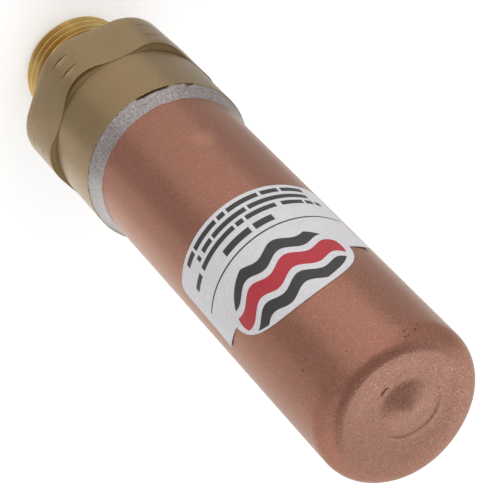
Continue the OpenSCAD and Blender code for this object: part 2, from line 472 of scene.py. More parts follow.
def run_solder():
    """Grainy solder with small voids, lighter towards one side."""
    made, w, bsdf, place = new_material("run_solder")
    grain = w.group(GRAIN, Place=place, Grains_per_metre=2600.0)
    patches = w.group(TARNISH, Place=place, Patches_per_metre=300.0)["Mask"]
    pocks = w.step(w.cells(place, VOIDS_PER_METRE), 0.24, 0.10)
    rare = w.step(w.noise(place, 420.0, detail=2.0), 0.56, 0.64)
    voids = w.math("MULTIPLY", pocks, rare)
    # Lighter towards one side of the ring
    lighter_side = w.step(w.away_from(place, LIGHTER_SPOT), LIGHTER_REACH[1] * MM, LIGHTER_REACH[0] * MM)
    colour = w.mix(grain["Mask"], SOLDER_LOW, SOLDER_HIGH)
    colour = w.tinted(colour, patches, 0.3, SOLDER_PATCH)
    colour = w.tinted(colour, lighter_side, 0.4, SOLDER_LIGHTER)
    colour = w.tinted(colour, voids, 0.7, SOLDER_VOID)
    relief = w.math("SUBTRACT", grain["Height"], w.math("MULTIPLY", voids, 0.6))
    surface(w, bsdf, colour, grain["Mask"], (0.3, 0.46), relief, strength=0.6, depth=0.0002)
    return made


# Label finish, with sizes of the printing in millimetres


PAPER_LOW = srgb(203, 201, 204)
PAPER_HIGH = srgb(217, 215, 217)
PAPER_SMUDGE = srgb(198, 195, 196)
DARK_INK_LOW = srgb(40, 36, 34)
DARK_INK_HIGH = srgb(52, 48, 45)
RED_INK_LOW = srgb(168, 24, 42)
RED_INK_HIGH = srgb(182, 32, 50)
PRINT_SPAN = 50.0
EMBLEM_H = 21.5
EMBLEM_HALF = (11.2, 8.1)
WAVE_LENGTH = 7.4
WAVE_RISE = 0.85
RED_WAVE_HALF = 1.9
DARK_WAVE_AWAY = 5.0
DARK_WAVE_HALF = 1.45
RULE_H = 11.2
RULE_HALF = 0.19
RULE_MIDDLE = -0.6
RULE_REACH = 15.8
INK_EDGE = 0.05
INK_END = 0.1
# Height, half height, middle, half length, breaks in a millimetre and seed of each row of bars
BAR_ROWS = (
    (8.9, 0.85, 0.3, 5.2, 0.42, 3.0),
    (5.9, 0.62, -0.6, 14.6, 0.62, 11.0),
    (3.8, 0.62, -2.0, 11.6, 0.66, 23.0),
    (1.6, 0.62, -1.0, 13.0, 0.6, 37.0),
)


def printed_label():
    """White coated paper with a wave emblem on the tab, a rule and rows of plain bars."""
    made, w, bsdf, place = new_material("printed_label")
    u, v, _ = w.axes(w.node("ShaderNodeUVMap", uv_map="print").outputs[0])
    across = w.math("MULTIPLY", w.math("SUBTRACT", u, 0.5), PRINT_SPAN)
    up = w.math("MULTIPLY", v, PRINT_SPAN)
    up_emblem = w.math("SUBTRACT", up, EMBLEM_H)

    def band(value, centre, half, soft=INK_EDGE):
        away = w.math("ABSOLUTE", w.math("SUBTRACT", value, centre))
        return w.step(away, half + soft, half - soft)

    half_w, half_h = EMBLEM_HALF
    away = w.from_middle(w.math("DIVIDE", across, half_w), w.math("DIVIDE", up_emblem, half_h))
    inside = w.step(away, 1.006, 0.994)
    turn = w.math("MULTIPLY", across, 2 * math.pi / WAVE_LENGTH)
    swing = w.math("MULTIPLY", w.math("SINE", turn), WAVE_RISE)
    wavy = w.math("SUBTRACT", up_emblem, swing)
    red = w.math("MULTIPLY", band(wavy, 0.0, RED_WAVE_HALF), inside)
    upper_wave = band(wavy, DARK_WAVE_AWAY, DARK_WAVE_HALF)
    lower_wave = band(wavy, -DARK_WAVE_AWAY, DARK_WAVE_HALF)
    dark = w.math("MULTIPLY", w.math("MAXIMUM", upper_wave, lower_wave), inside)
    rule = w.math("MULTIPLY", band(up, RULE_H, RULE_HALF), band(across, RULE_MIDDLE, RULE_REACH, INK_END))
    dark = w.math("MAXIMUM", dark, rule)
    for row_h, half_h, middle, half_w, breaks, seed in BAR_ROWS:
        breaking = w.noise(w.joined(w.math("MULTIPLY", across, breaks), seed, 0.0), 1.0, detail=0.0)
        bars = w.step(breaking, 0.385, 0.40)
        row = w.math("MULTIPLY", band(up, row_h, half_h), band(across, middle, half_w, INK_END))
        dark = w.math("MAXIMUM", dark, w.math("MULTIPLY", row, bars))

    fibre = w.noise(place, 1500.0, detail=3.0)
    fibres = w.span(fibre, 0.3, 0.7, 0.0, 1.0)
    smudges = w.group(TARNISH, Place=place, Patches_per_metre=120.0)["Mask"]
    paper = w.tinted(w.mix(fibres, PAPER_LOW, PAPER_HIGH), smudges, 0.2, PAPER_SMUDGE)
    colour = w.mix(dark, paper, w.mix(fibres, DARK_INK_LOW, DARK_INK_HIGH))
    colour = w.mix(red, colour, w.mix(fibres, RED_INK_LOW, RED_INK_HIGH))
    surface(w, bsdf, colour, fibres, (0.38, 0.5), fibre, strength=0.08, depth=0.00005, metallic=0.0)
    return made


# Finishes of the pieces inside


def moulded_acetal():
    made, w, bsdf, place = new_material("moulded_acetal")
    grain = w.group(GRAIN, Place=place, Grains_per_metre=1500.0)
    patches = w.group(TARNISH, Place=place, Patches_per_metre=150.0)["Mask"]
    colour = w.mix(patches, srgb(232, 231, 224), srgb(222, 221, 213))
    surface(
        w, bsdf, colour, grain["Mask"], (0.4, 0.5), grain["Height"], strength=0.1, depth=0.00005, metallic=0.0
    )
    return made


def greased_rubber():
    made, w, bsdf, place = new_material("greased_rubber")
    grain = w.group(GRAIN, Place=place, Grains_per_metre=2500.0)
    patches = w.group(TARNISH, Place=place, Patches_per_metre=200.0)["Mask"]
    colour = w.mix(patches, srgb(34, 34, 36), srgb(48, 48, 50))
    surface(
        w, bsdf, colour, patches, (0.25, 0.55), grain["Height"], strength=0.15, depth=0.00005, metallic=0.0
    )
    return made


# Mesh helpers


MERGE_DISTANCE = 2e-6
THINNEST_FACE = 1e-7


def ring(r, z, angles):
    """Points round the axis; r and z may be numbers or one value for each angle."""
    r = np.broadcast_to(np.asarray(r, float), angles.shape)
    z = np.broadcast_to(np.asarray(z, float), angles.shape)
    return np.stack([r * np.cos(angles), r * np.sin(angles), z], axis=1)


def full_turn(columns):
    return np.linspace(0, 2 * math.pi, columns, endpoint=False)


def skin(rings, closed=False):
    """Vertices and four-sided faces of a stack of rings, each with the same number of points."""
    count, columns = len(rings), len(rings[0])
    verts = np.concatenate(rings)
    faces = []
    for i in range(count if closed else count - 1):
        low, high = i * columns, (i + 1) % count * columns
        for j in range(columns):
            k = (j + 1) % columns
            faces.append((low + j, low + k, high + k, high + j))
    return verts, faces


def linked(name, data):
    made = bpy.data.objects.new(name, data)
    bpy.context.scene.collection.objects.link(made)
    return made


def piece(name, verts, faces, finishes, face_finish=None, sharp=35.0, flat=None):
    """A mesh object in metres at the origin, faces outwards, smooth up to the sharp angle."""
    mesh = bpy.data.meshes.new(name)
    mesh.from_pydata([tuple(p * MM) for p in verts], [], [tuple(f) for f in faces])
    if flat is not None:
        layer = mesh.uv_layers.new(name="print")
        index = np.empty(len(mesh.loops), int)
        mesh.loops.foreach_get("vertex_index", index)
        layer.data.foreach_set("uv", np.asarray(flat, float)[index].ravel())
    for finish in finishes:
        mesh.materials.append(finish)
    if face_finish is not None:
        mesh.polygons.foreach_set("material_index", np.asarray(face_finish, int))
    settle(mesh, sharp)
    return linked(name, mesh)


def settle(mesh, sharp):
    """Merges doubled points, drops faces of no width and turns all faces outwards."""
    work = bmesh.new()
    work.from_mesh(mesh)
    bmesh.ops.remove_doubles(work, verts=work.verts, dist=MERGE_DISTANCE)
    bmesh.ops.dissolve_degenerate(work, edges=work.edges, dist=THINNEST_FACE)
    bmesh.ops.recalc_face_normals(work, faces=work.faces)
    work.to_mesh(mesh)
    work.free()
    mesh.shade_smooth()
    mesh.set_sharp_from_angle(angle=math.radians(sharp))


def bend(start, corner, end, steps):
    """Points of a smooth curve from start to end that leans on corner."""
    points = []
    for i in range(steps + 1):
        t = i / steps
        a, b, c = (1 - t) ** 2, 2 * t * (1 - t), t * t
        points.append(tuple(a * p + b * q + c * s for p, q, s in zip(start, corner, end)))
    return points


def smooth(value, low, high):
    t = np.clip((np.asarray(value, float) - low) / (high - low), 0.0, 1.0)
    return t * t * (3 - 2 * t)


def facing(angles, middle, half, soft):
    """1 for angles within half of middle, in degrees, falling off to 0 over soft."""
    away = np.abs((np.degrees(angles) - middle + 180.0) % 360.0 - 180.0)
    return 1.0 - smooth(away, half, half + soft)


# Barrel


BARREL_COLUMNS = 240
BARREL_ROWS = 40
SHOULDER_STEPS = 18
INNER_STEPS = 8
SIDE_FROM = 2.0
DIP_EDGE_R = DIP_R + 0.2
DIP_FIRST_ROW = 0.12
DIP_ROWS = 9
BUTTON_R = 4.5
BUTTON_SHIFT = np.array([-1.1, -0.5])
BUTTON_LEAN = np.array([0.0, 0.4])
BUTTON_TIP = 1.0
BUTTON_ROWS = 12
BUTTON_FOOT_IN = 0.6
BUTTON_FOOT_OUT = 0.5
BUTTON_FOOT_STEPS = 8
LIP_SHIFT = np.array([-1.0, -0.4])
LIP_R = 5.85
LIP_H = 0.24
LIP_LOWEST = 0.06
# Each side is a middle, a half width and a fall-off, in degrees round the axis
LIP_SIDE = (90.0, 45.0, 30.0)
NICK_SIDE = (-84.0, 6.0, 3.0)
# Distance from the lip's radius, share of the lip's height and depth of the nick there
LIP_PROFILE = (
    (-0.34, 0.0, 0.0),
    (-0.24, 0.02, 0.28),
    (-0.12, 0.12, 0.3),
    (-0.02, 0.75, 0.1),
    (0.05, 1.0, 0.0),
    (0.14, 0.85, 0.0),
    (0.32, 0.15, 0.0),
    (0.42, 0.0, 0.0),
)
# Radii between which the rings move from the button's middle to the lip's, and from the lip's to the axis
SHIFT_TO_LIP = (BUTTON_R - 0.9, LIP_R - 0.35)
SHIFT_TO_AXIS = (LIP_R + 0.5, DIP_EDGE_R)
CREASE = math.radians(6.0)
CREASE_W = 0.06
CREASE_TURNS = (0.0, 0.012, 0.08)
SPUN_R = 3.9
SPUN_R_TIGHT = 3.0
TIGHT_SIDE = (36.0, 15.0, 65.0)


def end_face_rings(angles):
    """Rings of the end face from its middle to the shoulder: button, ledge, lip and shallow dip."""
    lip = LIP_LOWEST + (1.0 - LIP_LOWEST) * facing(angles, *LIP_SIDE)
    nick = facing(angles, *NICK_SIDE)
    rings = []

    def add(r, depth):
        points = ring(r, END_Z - depth, angles)
        to_lip = smooth(r, *SHIFT_TO_LIP)
        to_axis = smooth(r, *SHIFT_TO_AXIS)
        button = BUTTON_SHIFT + BUTTON_LEAN * max(0.0, 1.0 - r / BUTTON_R)
        points[:, :2] += (button + (LIP_SHIFT - button) * to_lip) * (1.0 - to_axis)
        rings.append(points)

    def button_depth(r):
        slope = BUTTON_H / (math.hypot(BUTTON_R, BUTTON_TIP) - BUTTON_TIP)
        return DIP_DEPTH - (BUTTON_H - slope * (math.hypot(r, BUTTON_TIP) - BUTTON_TIP))

    foot = BUTTON_R - BUTTON_FOOT_IN
    for r in np.linspace(0.0, foot, BUTTON_ROWS):
        add(r, button_depth(r))
    foot_end = (BUTTON_R + BUTTON_FOOT_OUT, DIP_DEPTH)
    for r, depth in bend((foot, button_depth(foot)), (BUTTON_R, DIP_DEPTH), foot_end, BUTTON_FOOT_STEPS)[1:]:
        add(r, depth)
    for away, share, cut in LIP_PROFILE:
        add(LIP_R + away, DIP_DEPTH - LIP_H * share * lip + cut * nick)
    start = LIP_R + LIP_PROFILE[-1][0]
    for t in np.linspace(DIP_FIRST_ROW, 1.0, DIP_ROWS):
        add(start + (DIP_EDGE_R - start) * t, DIP_DEPTH * (1.0 - smooth(t, 0.0, 1.0)))
    return rings


def barrel_rings(angles):
    """The spun barrel: end face, shoulder, side, mouth and the bore back up to its closed end."""
    rings = end_face_rings(angles)

    def add(r, z):
        rings.append(ring(r, z, angles))

    spun_r = SPUN_R + (SPUN_R_TIGHT - SPUN_R) * facing(angles, *TIGHT_SIDE)
    add(BARREL_R - spun_r * (1.0 - math.sin(CREASE)) - CREASE_W, END_Z)
    first, second, third = (CREASE + turn for turn in CREASE_TURNS)
    for a in [first, second, *np.linspace(third, math.pi / 2, SHOULDER_STEPS)]:
        add(BARREL_R - spun_r * (1.0 - math.sin(a)), END_Z - spun_r * (math.cos(CREASE) - math.cos(a)))
    for z in np.linspace(END_Z - SPUN_R - SIDE_FROM, SEAT_Z, BARREL_ROWS):
        add(BARREL_R, float(z))
    inner = SHOULDER_R - (BARREL_R - BORE_R)
    add(BORE_R, SEAT_Z)
    for i in range(INNER_STEPS + 1):
        a = math.radians(90 * i / INNER_STEPS)
        add(BORE_R - inner + inner * math.cos(a), END_Z - END_WALL - inner + inner * math.sin(a))
    add(0.0, END_Z - END_WALL)
    return rings


def make_barrel(copper):
    verts, faces = skin(barrel_rings(full_turn(BARREL_COLUMNS)))
    made = piece("spun_barrel", verts, faces, [copper], sharp=50.0)
    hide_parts("barrel")
    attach(made, "shell")
    return made


# Fitting


FITTING_COLUMNS = 240
THREAD_ROWS_A_TURN = 20
THREAD_FLAT_SHARE = 0.1
THREAD_RUN_OUT = 2.2
LEAD_IN_SLOPE = 1.03
UNDERSIDE_IN = 1.2
THREAD_RELIEF = 1.4
EDGE_EASE = 0.12
CORNER_EASE = 0.18
# Angles from a corner, as negative numbers, between which its own ease sets in
CORNER_EASE_SPAN = (-16.0, -8.0)
EDGE_STEPS = 3
MARKS_FROM_Z = 18.4
# Height and half angle of each row of tool marks
MARKS = ((20.1, 7.8), (24.2, 9.2))
MARK_DEPTH = 0.12
MARK_HALF = 0.27
MARK_STEPS = 9
MARK_BOW = 0.35
MARK_CLEARANCE = 1.8
# Depth share past which a tool mark's faces take the grime and painted shade
MARK_GRIME_AND_SHADE = 0.4
MARK_FAINT = 0.55
MARK_DEEP_SIDE = (-90.0, 30.0, 1.0)
LEDGE_SLOPE = 0.45
LEDGE_EDGE = 0.1
LEDGE_SHARES = (0.18, 0.32, 0.6)
COVE_LEAN = 0.95
COVE_RISE = 0.5
COVE_RISE_SHARE = 0.6
COVE_STEPS = 10
COVE_TURNED_STEPS = 7
# Side that faces the camera, where the dark rows of grime and painted shade lie differently
FRONT_SIDE = (-90.0, 28.0, 1.0)
COLLAR_ROWS_Z = (30.5, 33.5, 37.0, 40.0, 41.2, RIM_Z - 0.2, RIM_Z - 0.05)
RIM_BREAK = 0.04
PORT_ROW_Z = 16.0
WORN_RATE = 22
WORN_SEED = 4.0
WORN_ABOVE = 0.05
# Places of the finishes on the fitting's mesh
DULL, TURNED, BRIGHT, GRIME_AND_SHADE = range(4)


def thread_tree():
    """Pipe thread as a grid whose rows follow the helix, wrapped on the taper, with a lead-in chamfer."""
    tree = bpy.data.node_groups.new("pipe_thread", "GeometryNodeTree")
    face = tree.interface
    sizes = ("Pitch", "Length", "End Radius", "Root Radius", "Taper", "Depth", "Flat Share", "Run Out")
    sockets = [(label, "NodeSocketFloat") for label in (*sizes, "Turns")]
    sockets += [("Columns", "NodeSocketInt"), ("Rows", "NodeSocketInt"), ("Finish", "NodeSocketMaterial")]
    inputs = {}
    for label, kind in sockets:
        inputs[label] = face.new_socket(name=label, in_out="INPUT", socket_type=kind).identifier
    face.new_socket(name="Geometry", in_out="OUTPUT", socket_type="NodeSocketGeometry")
    w = Wires(tree)
    got = w.node("NodeGroupInput").outputs
    grid = w.node("GeometryNodeMeshGrid")
    grid.inputs["Size X"].default_value = 1.0
    grid.inputs["Size Y"].default_value = 1.0
    w.put(grid.inputs["Vertices X"], got["Columns"])
    w.put(grid.inputs["Vertices Y"], got["Rows"])
    x, y, _ = w.axes(w.node("GeometryNodeInputPosition").outputs[0])
    turn = w.math("ADD", x, 0.5)
    row = w.math("MULTIPLY", w.math("ADD", y, 0.5), got["Turns"])
    lift = w.math("SUBTRACT", w.math("ADD", row, turn), 1.0)
    free_z = w.math("MULTIPLY", lift, got["Pitch"])
    z = w.math("MAXIMUM", w.math("MINIMUM", free_z, got["Length"]), 0.0)
    widening = w.math("MULTIPLY", z, w.math("MULTIPLY", got["Taper"], 0.5))
    crest = w.math("ADD", got["End Radius"], widening)
    phase = w.math("FRACT", w.math("ADD", row, 0.00001))
    away = w.math("ABSOLUTE", w.math("SUBTRACT", w.math("MULTIPLY", phase, 2.0), 1.0))
    top = w.math("SUBTRACT", 1.0, got["Flat Share"])
    groove = w.span(away, got["Flat Share"], top, 0.0, 1.0)
    left = w.math("SUBTRACT", got["Length"], z)
    fade = w.math("DIVIDE", left, got["Run Out"], clamp=True)
    cut = w.math("MULTIPLY", w.math("MULTIPLY", groove, fade), got["Depth"])
    chamfer = w.math("ADD", got["Root Radius"], w.math("MULTIPLY", z, LEAD_IN_SLOPE))
    r = w.math("MINIMUM", w.math("SUBTRACT", crest, cut), chamfer)
    angle = w.math("MULTIPLY", turn, 2 * math.pi)
    wrapped_x = w.math("MULTIPLY", r, w.math("COSINE", angle))
    wrapped_y = w.math("MULTIPLY", r, w.math("SINE", angle))
    moved = w.node("GeometryNodeSetPosition")
    w.put(moved.inputs["Geometry"], grid.outputs["Mesh"])
    w.put(moved.inputs["Position"], w.joined(wrapped_x, wrapped_y, z))
    merged = w.node("GeometryNodeMergeByDistance")
    w.put(merged.inputs["Geometry"], moved.outputs[0])
    merged.inputs["Distance"].default_value = MERGE_DISTANCE
    real = w.node("GeometryNodeRealizeInstances")
    w.put(real.inputs[0], merged.outputs[0])
    coat = w.node("GeometryNodeSetMaterial")
    w.put(coat.inputs["Geometry"], real.outputs[0])
    w.put(coat.inputs["Material"], got["Finish"])
    w.put(w.node("NodeGroupOutput").inputs[0], coat.outputs[0])
    return tree, inputs


def grown(name, tree, values):
    """The plain mesh that a Geometry Nodes tree makes from these input values."""
    seed = linked(name, bpy.data.meshes.new(name))
    modifier = seed.modifiers.new(name, "NODES")
    modifier.node_group = tree
    for identifier, value in values.items():
        modifier[identifier] = value
    graph = bpy.context.evaluated_depsgraph_get()
    mesh = bpy.data.meshes.new_from_object(seed.evaluated_get(graph))
    seed.modifiers.remove(modifier)
    bpy.data.objects.remove(seed)
    return mesh


def thread_mesh(columns, finish):
    tree, ids = thread_tree()
    turns = math.ceil(THREAD_LEN / THREAD_PITCH) + 1
    values = {
        "Pitch": THREAD_PITCH * MM,
        "Length": THREAD_LEN * MM,
        "End Radius": THREAD_END_R * MM,
        "Root Radius": LEAD_R * MM,
        "Taper": THREAD_TAPER,
        "Depth": THREAD_DEPTH * MM,
        "Flat Share": THREAD_FLAT_SHARE,
        "Run Out": THREAD_RUN_OUT * MM,
        "Turns": float(turns),
        "Columns": columns + 1,
        "Rows": turns * THREAD_ROWS_A_TURN + 1,
        "Finish": finish,
    }
    return grown("pipe_thread", tree, {ids[name]: value for name, value in values.items()})


def hexagon_radius(angles):
    """Radius of the hexagon with round corners, and the angle in degrees from the nearest corner."""
    from_corner = np.degrees(angles) % 60.0 - 30.0
    from_flat = np.radians((np.degrees(angles) + 30.0) % 60.0 - 30.0)
    tip = FLAT_R / math.cos(math.radians(30.0))
    bend_r = (tip - CORNER_R) / (tip / FLAT_R - 1.0)
    bend_c = CORNER_R - bend_r
    turn = np.radians(from_corner)
    corner = bend_c * np.cos(turn) + np.sqrt(bend_r ** 2 - (bend_c * np.sin(turn)) ** 2)
    on_flat = np.abs(from_flat) < math.atan(bend_c * 0.5 / FLAT_R)
    return np.where(on_flat, FLAT_R / np.cos(from_flat), corner), from_corner


def fitting_rings(angles):
    """Rings from the hexagon's underside over ledge, hollow and collar, down the socket and the waterway."""
    side, from_corner = hexagon_radius(angles)
    flat = 0.0 * side
    slope = CHAMFER_H / (CORNER_R - COLLAR_R)
    reach = side - COLLAR_R
    top = COLLAR_Z - reach * slope
    ease = EDGE_EASE + CORNER_EASE * smooth(-np.abs(from_corner), *CORNER_EASE_SPAN)
    rows = [(THREAD_END_R + THREAD_RELIEF + flat, HEX_Z + flat), (side - UNDERSIDE_IN, HEX_Z + flat)]
    rows += bend((side - ease, HEX_Z + flat), (side, HEX_Z + flat), (side, HEX_Z + ease), EDGE_STEPS)
    rows.append((side, MARKS_FROM_Z + flat))

    cut_faces = {}
    hit = MARK_FAINT + (1.0 - MARK_FAINT) * facing(angles, *MARK_DEEP_SIDE)
    for height, half_angle in MARKS:
        length = hit * np.clip(1.0 - (from_corner / half_angle) ** 2, 0.0, 1.0)
        bow = MARK_BOW * np.clip(from_corner / half_angle, -1.0, 1.0) ** 2
        for away in np.linspace(-MARK_HALF, MARK_HALF, MARK_STEPS):
            cut = length - (away / MARK_HALF) ** 2
            cut_faces[len(rows) + 1] = cut > MARK_GRIME_AND_SHADE
            rows.append((side - MARK_DEPTH * np.clip(cut, 0.0, 1.0), height + away + bow))
        rows.append((side, height + MARK_CLEARANCE + flat))

    def on_ledge(share):
        return side - share * reach, top + share * LEDGE_SLOPE * reach

    rows += bend((side, top - EDGE_EASE), (side, top), on_ledge(LEDGE_EDGE), EDGE_STEPS)
    ledge_from = len(rows)
    rows += [on_ledge(share) for share in LEDGE_SHARES]
    cove_from = len(rows)
    foot = (COLLAR_R + flat, COLLAR_Z + np.minimum(COVE_RISE, COVE_RISE_SHARE * reach))
    rows += bend(on_ledge(LEDGE_SHARES[-1]), on_ledge(COVE_LEAN), foot, COVE_STEPS)[1:]
    for z in COLLAR_ROWS_Z:
        rows.append((COLLAR_R + flat, z + flat))
    rows.append((COLLAR_R - RIM_BREAK + flat, RIM_Z + flat))
    rim_facet = len(rows) - 1
    inside = [
        (COLLAR_R - RIM_W, RIM_Z),
        (SOCKET_R, RIM_Z - MOUTH_DEPTH),
        (SOCKET_R, SEAT_Z),
        (PORT_R, SEAT_Z),
        (PORT_R, PORT_ROW_Z),
        (PORT_R, PORT_BEVEL),
        (PORT_R + PORT_BEVEL, 0.0),
        (LEAD_R, 0.0),
    ]
    top_r = THREAD_END_R + THREAD_TAPER * THREAD_LEN / 2
    rings = [ring(top_r, HEX_Z, angles)] + [ring(r, z, angles) for r, z in rows]
    rings += [ring(r, z, angles) for r, z in inside]

    finish = np.full((len(rings) - 1, len(angles)), DULL)
    front = facing(angles, *FRONT_SIDE) > 0.5
    cove_edge = cove_from + COVE_TURNED_STEPS
    finish[ledge_from:cove_edge] = TURNED
    # Grime and painted shade: dark rows at the hollow's edges, the second ledge row on the side facing the
    # camera and the cove's edge elsewhere
    finish[ledge_from] = GRIME_AND_SHADE
    finish[ledge_from + 1] = np.where(front, GRIME_AND_SHADE, TURNED)
    finish[cove_edge] = np.where(front, TURNED, GRIME_AND_SHADE)
    # Grime and painted shade in the deeper parts of the tool marks
    for row, cut in cut_faces.items():
        finish[row] = np.where(cut, GRIME_AND_SHADE, DULL)
    finish[rim_facet] = np.where(worn_places(angles), BRIGHT, DULL)
    finish[len(rows) + 1:] = TURNED
    return rings, finish


def worn_places(angles):
    """Whether the rim is worn bright at each angle."""
    spots = [(math.cos(a) * WORN_RATE, math.sin(a) * WORN_RATE, WORN_SEED) for a in angles]
    return np.array([noise.noise(Vector(spot)) > WORN_ABOVE for spot in spots])


def make_fitting(dull, turned, bright, grime_and_shade):
    thread = thread_mesh(FITTING_COLUMNS, bright)
    coords = np.empty(len(thread.vertices) * 3)
    thread.vertices.foreach_get("co", coords)
    thread_verts = coords.reshape(-1, 3) / MM
    thread_faces = [tuple(p.vertices) for p in thread.polygons]
    bpy.data.meshes.remove(thread)
    rings, body_finish = fitting_rings(full_turn(FITTING_COLUMNS))
    body_verts, body_faces = skin(rings)
    verts = np.concatenate([body_verts, thread_verts])
    faces = body_faces + [tuple(i + len(body_verts) for i in f) for f in thread_faces]
    face_finish = list(body_finish.ravel()) + [BRIGHT] * len(thread_faces)
    made = piece("brass_fitting", verts, faces, [dull, turned, bright, grime_and_shade], face_finish, sharp=38.0)
    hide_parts("hex_fitting")
    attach(made, "shell")
    return made


# Solder


SOLDER_COLUMNS = 420
SOLDER_STEPS = 23
SOLDER_GAP = 0.3
SOLDER_LUMP = 0.05
SOLDER_SAG = 0.1
SOLDER_OVER_RIM = 0.13
SOLDER_EDGE_IN = 0.06
SOLDER_TOP_DROP = 0.1
SOLDER_TOP_OVER = 0.02
SOLDER_FEATHER = 0.03
SOLDER_SKIN = 0.01
GAP_CLOSES_AT = 0.2
SWELL_FROM = 0.1
# Share of the gap's full size, and the side it is on
SOLDER_GAPS = (
    (1.0, (-120.0, 7.0, 8.0)),
    (0.5, (-147.0, 1.5, 2.5)),
    (0.7, (70.0, 12.0, 6.0)),
)
# Bumps round the ring, seed and size of each wander of the upper and the lower edge
TOP_WANDERS = ((5.0, 1.5, 0.16), (22.0, 7.5, 0.07))
EDGE_WANDERS = ((9.0, 3.5, 0.05), (36.0, 9.5, 0.04))
LUMP_RATE = 26
LUMP_RISE = 6.0
# Roughness, spacing and layers of the noise
WANDER_NOISE = (0.8, 2.0, 3)
LUMP_NOISE = (0.9, 2.1, 4)


def make_solder(finish):
    """Ring of run solder: a fillet with a lumpy skin and a wandering edge."""
    angles = full_turn(SOLDER_COLUMNS)

    def rough(rate, height, settings):
        around = [(math.cos(a) * rate, math.sin(a) * rate, height) for a in angles]
        return np.array([noise.fractal(Vector(spot), *settings) for spot in around])

    def wander(wanders):
        return sum(size * rough(rate, seed, WANDER_NOISE) for rate, seed, size in wanders)

    top_z = RIM_Z + SOLDER_H - SOLDER_TOP_DROP + wander(TOP_WANDERS)
    edge_r = COLLAR_R - RIM_W + SOLDER_OVER_RIM + wander(EDGE_WANDERS)
    edge_r = np.minimum(edge_r, COLLAR_R - SOLDER_EDGE_IN)
    gap = sum(share * facing(angles, *gap_side) for share, gap_side in SOLDER_GAPS)
    rings = [ring(BARREL_R, RIM_Z - MOUTH_DEPTH, angles), ring(SOCKET_R, RIM_Z - MOUTH_DEPTH, angles)]
    for t in np.linspace(0.0, 1.0, SOLDER_STEPS):
        open_gap = SOLDER_GAP * gap * (1.0 - smooth(t, 0.0, GAP_CLOSES_AT))
        sag = SOLDER_SAG * math.sin(math.pi * t)
        swell = SOLDER_LUMP * math.sin(math.pi * min(1.0, SWELL_FROM + t)) ** 0.5
        lumps = rough(LUMP_RATE, t * LUMP_RISE, LUMP_NOISE)
        r = edge_r + (BARREL_R + SOLDER_FEATHER - edge_r) * t - sag - open_gap + swell * lumps
        z = RIM_Z + SOLDER_SKIN + (top_z - RIM_Z) * t - open_gap
        rings.append(ring(np.maximum(r, BARREL_R + SOLDER_SKIN), z, angles))
    rings.append(ring(BARREL_R, top_z + SOLDER_TOP_OVER, angles))
    verts, faces = skin(rings, closed=True)
    made = piece("run_solder_ring", verts, faces, [finish], sharp=60.0)
    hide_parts("solder_ring")
    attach(made, "shell")
    return made


# Label


LABEL_ROWS = 36
LABEL_HALF_COLUMNS = 40
# Extra columns beside the tab's steep ends, as distances inside them
TAB_END_COLUMNS = (0.001, 0.0, 0.02, 0.08, 0.2, 0.4, 0.7)
EAR_LIFT = 0.22
EAR_LIFT_FROM = 12.0
EAR_LIFT_OVER = 8.0


def label_edges(s):
    """Lower and upper edge of the flat label at a distance s to the right of its middle line."""
    w, t, r = LABEL_W / 2, LABEL_TAB_W / 2, LABEL_CORNER_R
    a = abs(s)
    low = r - math.sqrt(max(0.0, r * r - (a - w + r) ** 2)) if a > w - r else 0.0
    if a < t:
        high = LABEL_BAND_H + LABEL_TAB_H * math.sqrt(1 - (a / t) ** 2)
    else:
        high = LABEL_BAND_H - LABEL_EAR_DROP * (a - t) / (w - t)
    return low, high - s * math.tan(math.radians(LABEL_LEAN))


def label_columns():
    """Distances of the flat label's columns from its middle line, closer together towards its ends."""
    w, t = LABEL_W / 2, LABEL_TAB_W / 2
    half = [w * math.sin(math.pi / 2 * i / LABEL_HALF_COLUMNS) for i in range(LABEL_HALF_COLUMNS + 1)]
    half += [t - inside for inside in TAB_END_COLUMNS]
    half = sorted(set(round(v, 4) for v in half))
    return [-v for v in reversed(half[1:])] + half


def sheet_faces(count):
    """Faces of a closed sheet: front, back and rims of columns that have LABEL_ROWS faces each."""
    rows = LABEL_ROWS + 1
    shift = rows * count
    faces = []
    for i in range(count - 1):
        for j in range(LABEL_ROWS):
            a, b = i * rows + j, (i + 1) * rows + j
            faces.append((a, b, b + 1, a + 1))
            faces.append((a + shift, a + 1 + shift, b + 1 + shift, b + shift))
        for j in (0, LABEL_ROWS):
            a, b = i * rows + j, (i + 1) * rows + j
            faces.append((a, a + shift, b + shift, b))
    for j in range(LABEL_ROWS):
        for i in (0, count - 1):
            a = i * rows + j
            faces.append((a, a + 1, a + 1 + shift, a + shift))
    return faces


def make_label(finish):
    w, t = LABEL_W / 2, LABEL_TAB_W / 2
    columns = label_columns()
    slant = math.radians(LABEL_SLANT)
    glue_r = BARREL_R + GLUE_T
    front, back, flat = [], [], []
    for s in columns:
        low, high = label_edges(s)
        for j in range(LABEL_ROWS + 1):
            h = low + (high - low) * j / LABEL_ROWS
            x = s * math.cos(slant) - h * math.sin(slant)
            y = s * math.sin(slant) + h * math.cos(slant)
            angle = math.radians(-90 + LABEL_TURN) + x / glue_r
            ear = max(0.0, (abs(s) - t) / (w - t)) * max(0.0, (h - EAR_LIFT_FROM) / EAR_LIFT_OVER)
            lift = EAR_LIFT * ear ** 2
            for group, r in ((front, glue_r + LABEL_T + lift), (back, glue_r + lift)):
                group.append((r * math.cos(angle), r * math.sin(angle), END_Z - LABEL_DROP + y))
            flat.append((s / PRINT_SPAN + 0.5, h / PRINT_SPAN))
    faces = sheet_faces(len(columns))
    made = piece("paper_label", np.array(front + back), faces, [finish], sharp=40.0, flat=flat + flat)
    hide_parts("label")
    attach(made, "shell")
    return made


# Pieces inside


def coat_node(name, finish):
    """A CAD node that keeps its own shape and takes this finish."""
    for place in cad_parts[name].material_slots:
        place.material = finish


# Stage


